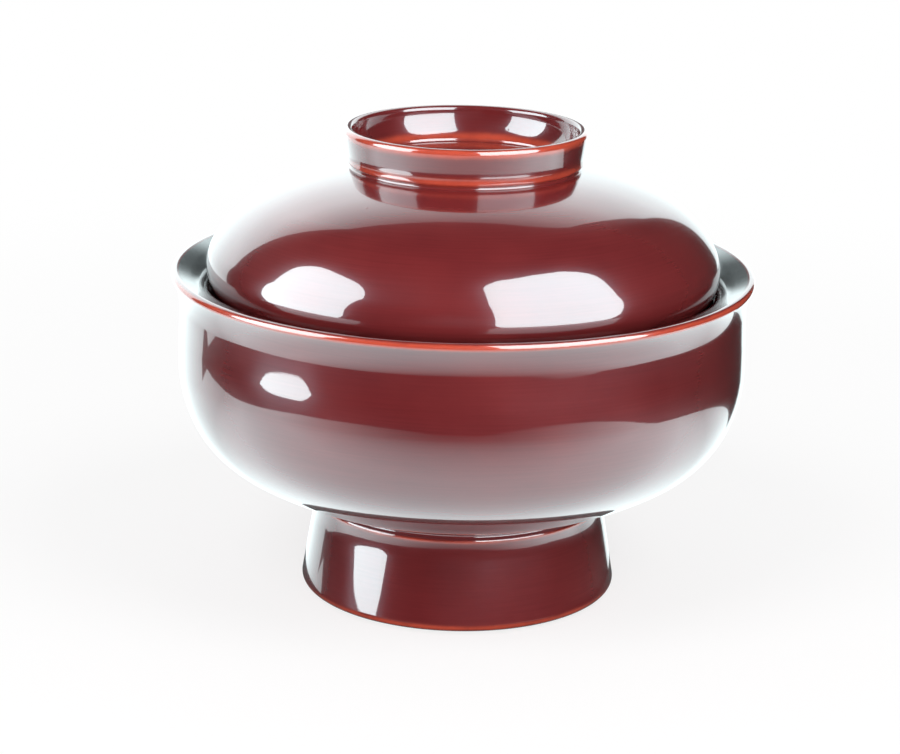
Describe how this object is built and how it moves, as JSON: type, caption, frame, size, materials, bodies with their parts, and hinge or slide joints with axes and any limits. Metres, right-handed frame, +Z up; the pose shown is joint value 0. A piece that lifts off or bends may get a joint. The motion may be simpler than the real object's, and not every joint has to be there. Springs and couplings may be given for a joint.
{
  "type": "lidded soup bowl",
  "caption": "Lidded lacquer soup bowl: a turned bowl with a leaning lip on a tall flared foot, and a domed lid with a ring knob that drops in to rest on the slope inside the lip",
  "frame": {"origin": "middle of the ring that the bowl stands on, on the axis of bowl and lid", "axes": "+Z is up along the common axis of bowl and lid; X and Y are free, since both are turned"},
  "size_m": [0.122, 0.122, 0.099],
  "materials": {
    "turned_wood": "turned and sanded close-grained wood",
    "vermilion_lacquer": "opaque vermilion lacquer, rubbed smooth",
    "translucent_lacquer": "clear amber lacquer that looks red-brown over vermilion, mirror gloss",
    "black_lacquer": "opaque black lacquer, mirror gloss"
  },
  "bodies": {
    "bowl": {"bowl_core": "turned_wood", "bowl_undercoat": "vermilion_lacquer", "bowl_top_coat": "translucent_lacquer", "bowl_inside_coat": "black_lacquer", "foot_recess_coat": "black_lacquer"},
    "lid": {"lid_core": "turned_wood", "lid_undercoat": "vermilion_lacquer", "lid_top_coat": "translucent_lacquer", "lid_inside_coat": "black_lacquer"}
  },
  "joints": [
    {"name": "lid_lift", "type": "slide", "parent": "bowl", "child": "lid", "axis": [0, 0, 1], "range_m": [0, 0.1]}
  ]
}
